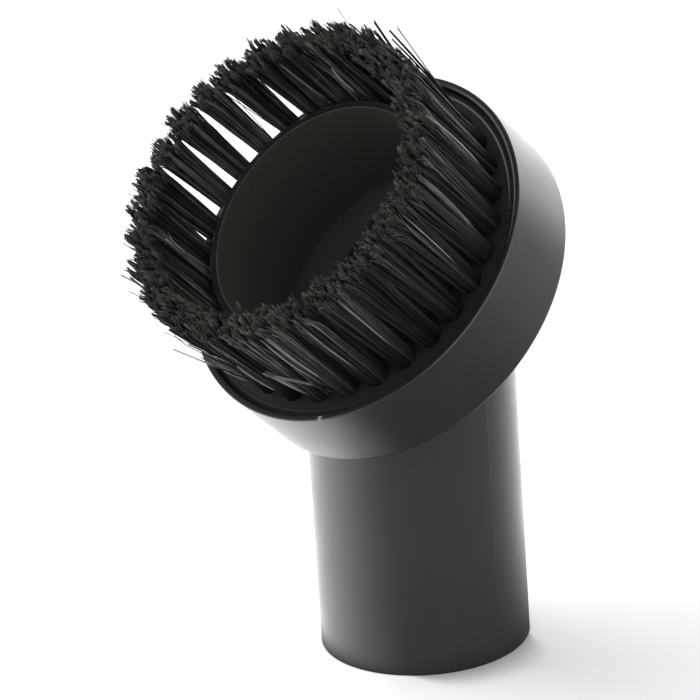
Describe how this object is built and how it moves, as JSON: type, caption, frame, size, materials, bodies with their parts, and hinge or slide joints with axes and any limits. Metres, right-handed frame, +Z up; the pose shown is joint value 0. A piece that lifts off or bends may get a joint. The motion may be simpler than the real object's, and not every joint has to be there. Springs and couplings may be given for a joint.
{
  "type": "vacuum dusting brush",
  "caption": "Round dusting brush for a vacuum cleaner wand: a push-on socket, a head tilted at 45 degrees and a ring of flared bristle tufts around a raised air sleeve.",
  "frame": {"origin": "under the middle of the brush's bounding box, on the plane of the socket's mouth", "axes": "+Z up along the socket's axis, the bristles face -Y and upwards at 45 degrees, +X across the head"},
  "size_m": [0.066, 0.073, 0.1147],
  "materials": {
    "body_plastic": "satin black polypropylene, injection moulded",
    "ring_plastic": "black polypropylene, moulded and drilled",
    "bristle_filament": "fine black synthetic filament with flagged cut ends"
  },
  "bodies": {
    "root": {"brush_body": "body_plastic", "bristle_ring": "ring_plastic", "bristle_tuft_01": "bristle_filament", "bristle_tuft_02": "bristle_filament", "bristle_tuft_03": "bristle_filament", "bristle_tuft_04": "bristle_filament", "bristle_tuft_05": "bristle_filament", "bristle_tuft_06": "bristle_filament", "bristle_tuft_07": "bristle_filament", "bristle_tuft_08": "bristle_filament", "bristle_tuft_09": "bristle_filament", "bristle_tuft_10": "bristle_filament", "bristle_tuft_11": "bristle_filament", "bristle_tuft_12": "bristle_filament", "bristle_tuft_13": "bristle_filament", "bristle_tuft_14": "bristle_filament", "bristle_tuft_15": "bristle_filament", "bristle_tuft_16": "bristle_filament", "bristle_tuft_17": "bristle_filament", "bristle_tuft_18": "bristle_filament", "bristle_tuft_19": "bristle_filament", "bristle_tuft_20": "bristle_filament", "bristle_tuft_21": "bristle_filament", "bristle_tuft_22": "bristle_filament", "bristle_tuft_23": "bristle_filament", "bristle_tuft_24": "bristle_filament", "bristle_tuft_25": "bristle_filament", "bristle_tuft_26": "bristle_filament", "bristle_tuft_27": "bristle_filament", "bristle_tuft_28": "bristle_filament", "bristle_tuft_29": "bristle_filament", "bristle_tuft_30": "bristle_filament"}
  },
  "joints": []
}
